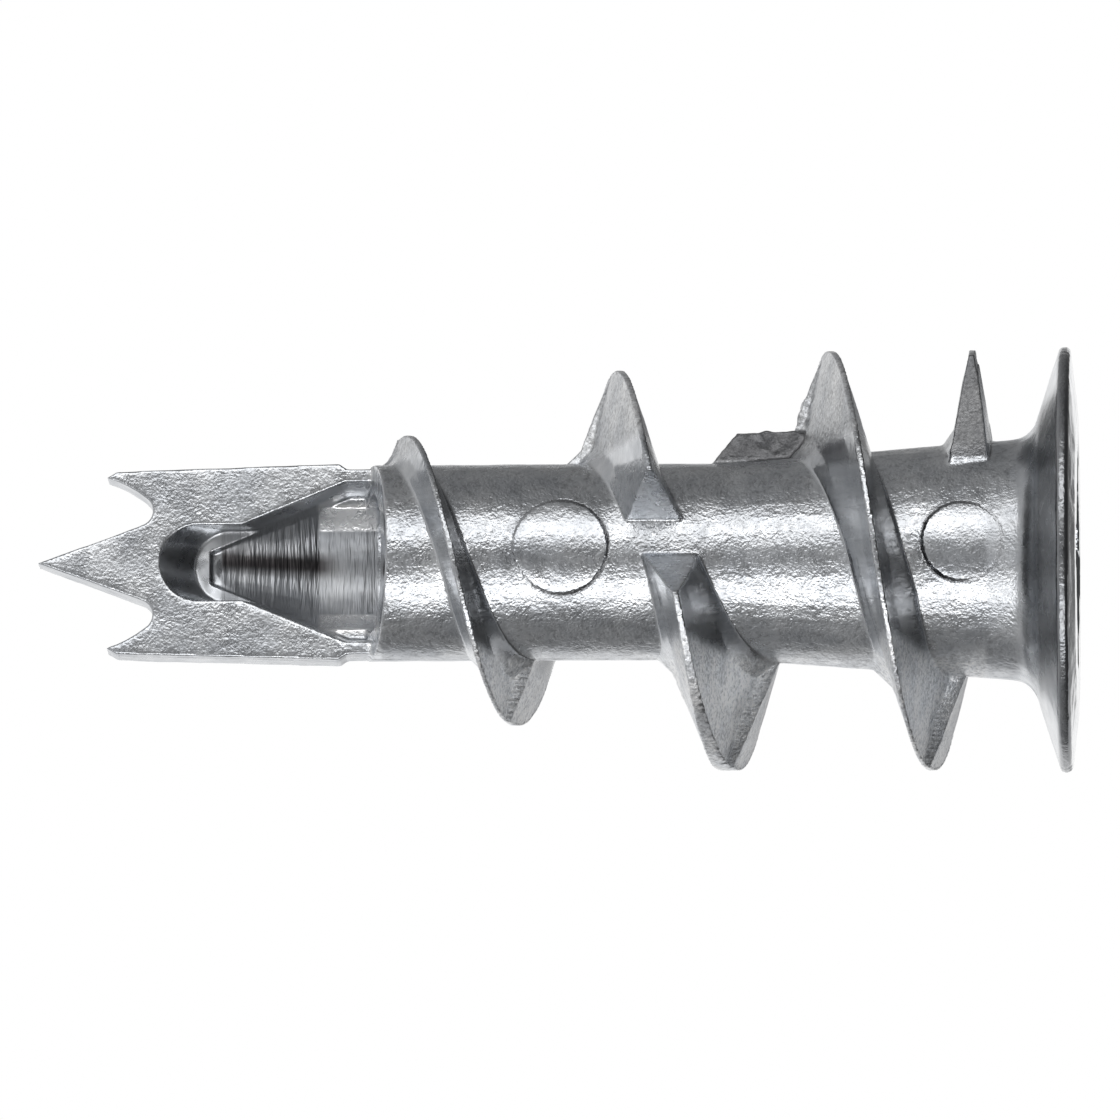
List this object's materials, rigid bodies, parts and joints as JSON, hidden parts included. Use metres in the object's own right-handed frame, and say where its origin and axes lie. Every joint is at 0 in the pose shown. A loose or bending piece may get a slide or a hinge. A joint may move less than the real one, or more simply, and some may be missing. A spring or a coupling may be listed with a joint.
{
  "type": "self-drilling metal plasterboard anchor",
  "caption": "Self-drilling plasterboard anchor cast in zinc: cross-recess head, coarse right-hand thread round a hollow sleeve, and a forked flat drilling blade with a pocket.",
  "frame": {"origin": "centre of the head's outer face, on which the anchor stands", "axes": "+Z along the axis from the head to the drilling tip; -Y is the side of the blade's flat face and pocket; the casting die parts on the plane Y = 0"},
  "size_m": [0.013, 0.013, 0.0318],
  "materials": {
    "zinc": "bare die-cast zinc alloy, satin with bright worn bands and fine casting grain"
  },
  "bodies": {
    "root": {"anchor_body": "zinc"}
  },
  "joints": []
}
